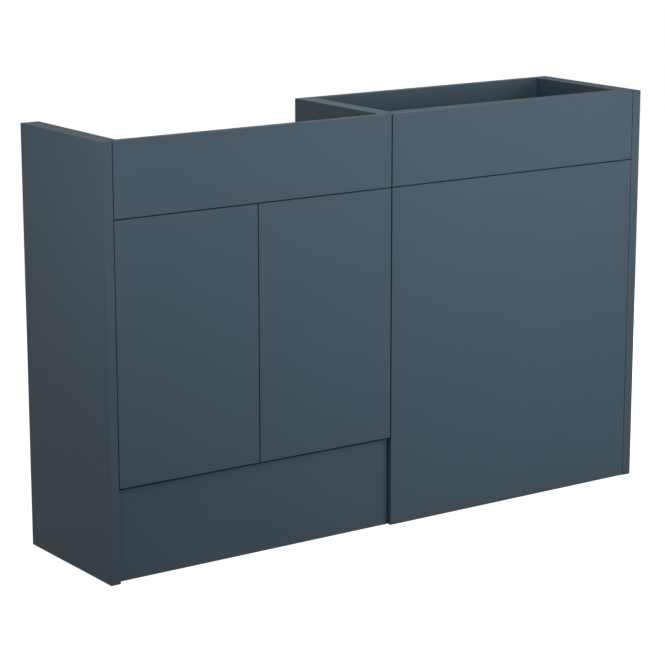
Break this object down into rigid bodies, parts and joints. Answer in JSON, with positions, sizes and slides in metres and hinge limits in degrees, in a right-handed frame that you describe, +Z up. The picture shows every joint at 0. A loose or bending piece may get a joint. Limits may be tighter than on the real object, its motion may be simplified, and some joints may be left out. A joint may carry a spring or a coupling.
{
  "type": "toilet and basin combination unit",
  "caption": "Fitted bathroom run: open-topped basin unit with hinged doors and recessed plinth, joined to a boxed toilet unit with lift-off access panel, between end panels.",
  "frame": {"origin": "centre of the footprint at floor level", "axes": "+X to the right as seen from the front, -Y out of the door faces, +Y to the wall, +Z up"},
  "size_m": [1.24, 0.296, 0.8],
  "materials": {
    "slate_board": "matt slate blue-grey lacquer on board",
    "zinc_fixing": "zinc plated",
    "nickel_steel": "satin nickel plated steel",
    "beech_dowel": "bare beech",
    "black_nylon": "moulded black nylon",
    "clear_bumper": "soft clear pad"
  },
  "bodies": {
    "carcass": {"end_panel_left": "slate_board", "end_panel_right": "slate_board", "basin_side_left": "slate_board", "basin_side_right": "slate_board", "basin_base": "slate_board", "basin_fascia": "slate_board", "basin_fascia_rail": "slate_board", "basin_rear_rail_upper": "slate_board", "basin_rear_rail_lower": "slate_board", "basin_cams": "zinc_fixing", "basin_cam_bolts": "zinc_fixing", "basin_dowels": "beech_dowel", "fascia_packers": "black_nylon", "fascia_screws": "zinc_fixing", "wc_side_left": "slate_board", "wc_side_right": "slate_board", "wc_front_rail_top": "slate_board", "wc_front_rail_middle": "slate_board", "wc_front_rail_bottom": "slate_board", "wc_rear_rail_top": "slate_board", "wc_rear_rail_bottom": "slate_board", "wc_cams": "zinc_fixing", "wc_cam_bolts": "zinc_fixing", "wc_dowels": "beech_dowel", "wc_lower_panel": "slate_board", "wc_corner_blocks": "black_nylon", "wc_corner_block_screws": "zinc_fixing", "stud_sockets": "black_nylon", "unit_joining_bolts": "zinc_fixing", "unit_joining_sleeves": "zinc_fixing", "end_panel_screws": "zinc_fixing", "hinge_arms": "nickel_steel", "hinge_arm_pins": "nickel_steel", "hinge_plates": "nickel_steel", "hinge_plate_screws": "zinc_fixing", "leg_sockets": "black_nylon", "leg_tubes": "black_nylon", "leg_screws": "zinc_fixing"},
    "links_left": {"hinge_links_left": "nickel_steel"},
    "leaf_left": {"door_left": "slate_board", "door_bumpers_left": "clear_bumper", "hinge_cups_left": "nickel_steel", "hinge_cup_pins_left": "nickel_steel", "hinge_cup_screws_left": "zinc_fixing"},
    "links_right": {"hinge_links_right": "nickel_steel"},
    "leaf_right": {"door_right": "slate_board", "door_bumpers_right": "clear_bumper", "hinge_cups_right": "nickel_steel", "hinge_cup_pins_right": "nickel_steel", "hinge_cup_screws_right": "zinc_fixing"},
    "access_panel": {"wc_access_panel": "slate_board", "access_panel_studs": "black_nylon"},
    "plinth": {"plinth_board": "slate_board", "plinth_clips": "black_nylon", "plinth_clip_screws": "zinc_fixing"},
    "foot_fl": {"foot_front_left": "black_nylon"},
    "foot_fr": {"foot_front_right": "black_nylon"},
    "foot_rl": {"foot_rear_left": "black_nylon"},
    "foot_rr": {"foot_rear_right": "black_nylon"}
  },
  "joints": [
    {"name": "links_left_turn", "type": "hinge", "parent": "carcass", "child": "links_left", "pos_m": [-0.569, -0.112, 0.4], "axis": [0, 0, 1], "range_deg": [0, 40]},
    {"name": "door_left_turn", "type": "hinge", "parent": "links_left", "child": "leaf_left", "pos_m": [-0.5885, -0.134, 0.4], "axis": [0, 0, -1], "range_deg": [0, 140]},
    {"name": "links_right_turn", "type": "hinge", "parent": "carcass", "child": "links_right", "pos_m": [-0.031, -0.112, 0.4], "axis": [0, 0, -1], "range_deg": [0, 40]},
    {"name": "door_right_turn", "type": "hinge", "parent": "links_right", "child": "leaf_right", "pos_m": [-0.0115, -0.134, 0.4], "axis": [0, 0, 1], "range_deg": [0, 140]},
    {"name": "access_panel_pull", "type": "slide", "parent": "carcass", "child": "access_panel", "axis": [0, -1, 0], "range_m": [0, 0.12]},
    {"name": "plinth_pull", "type": "slide", "parent": "carcass", "child": "plinth", "axis": [0, -1, 0], "range_m": [0, 0.2]},
    {"name": "foot_front_left_screw", "type": "slide", "parent": "carcass", "child": "foot_fl", "axis": [0, 0, 1], "range_m": [0, 0.012]},
    {"name": "foot_front_right_screw", "type": "slide", "parent": "carcass", "child": "foot_fr", "axis": [0, 0, 1], "range_m": [0, 0.012]},
    {"name": "foot_rear_left_screw", "type": "slide", "parent": "carcass", "child": "foot_rl", "axis": [0, 0, 1], "range_m": [0, 0.012]},
    {"name": "foot_rear_right_screw", "type": "slide", "parent": "carcass", "child": "foot_rr", "axis": [0, 0, 1], "range_m": [0, 0.012]}
  ],
  "couplings": [
    {"joint": "links_left_turn", "follows": "door_left_turn", "ratio": 0.28571},
    {"joint": "links_right_turn", "follows": "door_right_turn", "ratio": 0.28571}
  ]
}
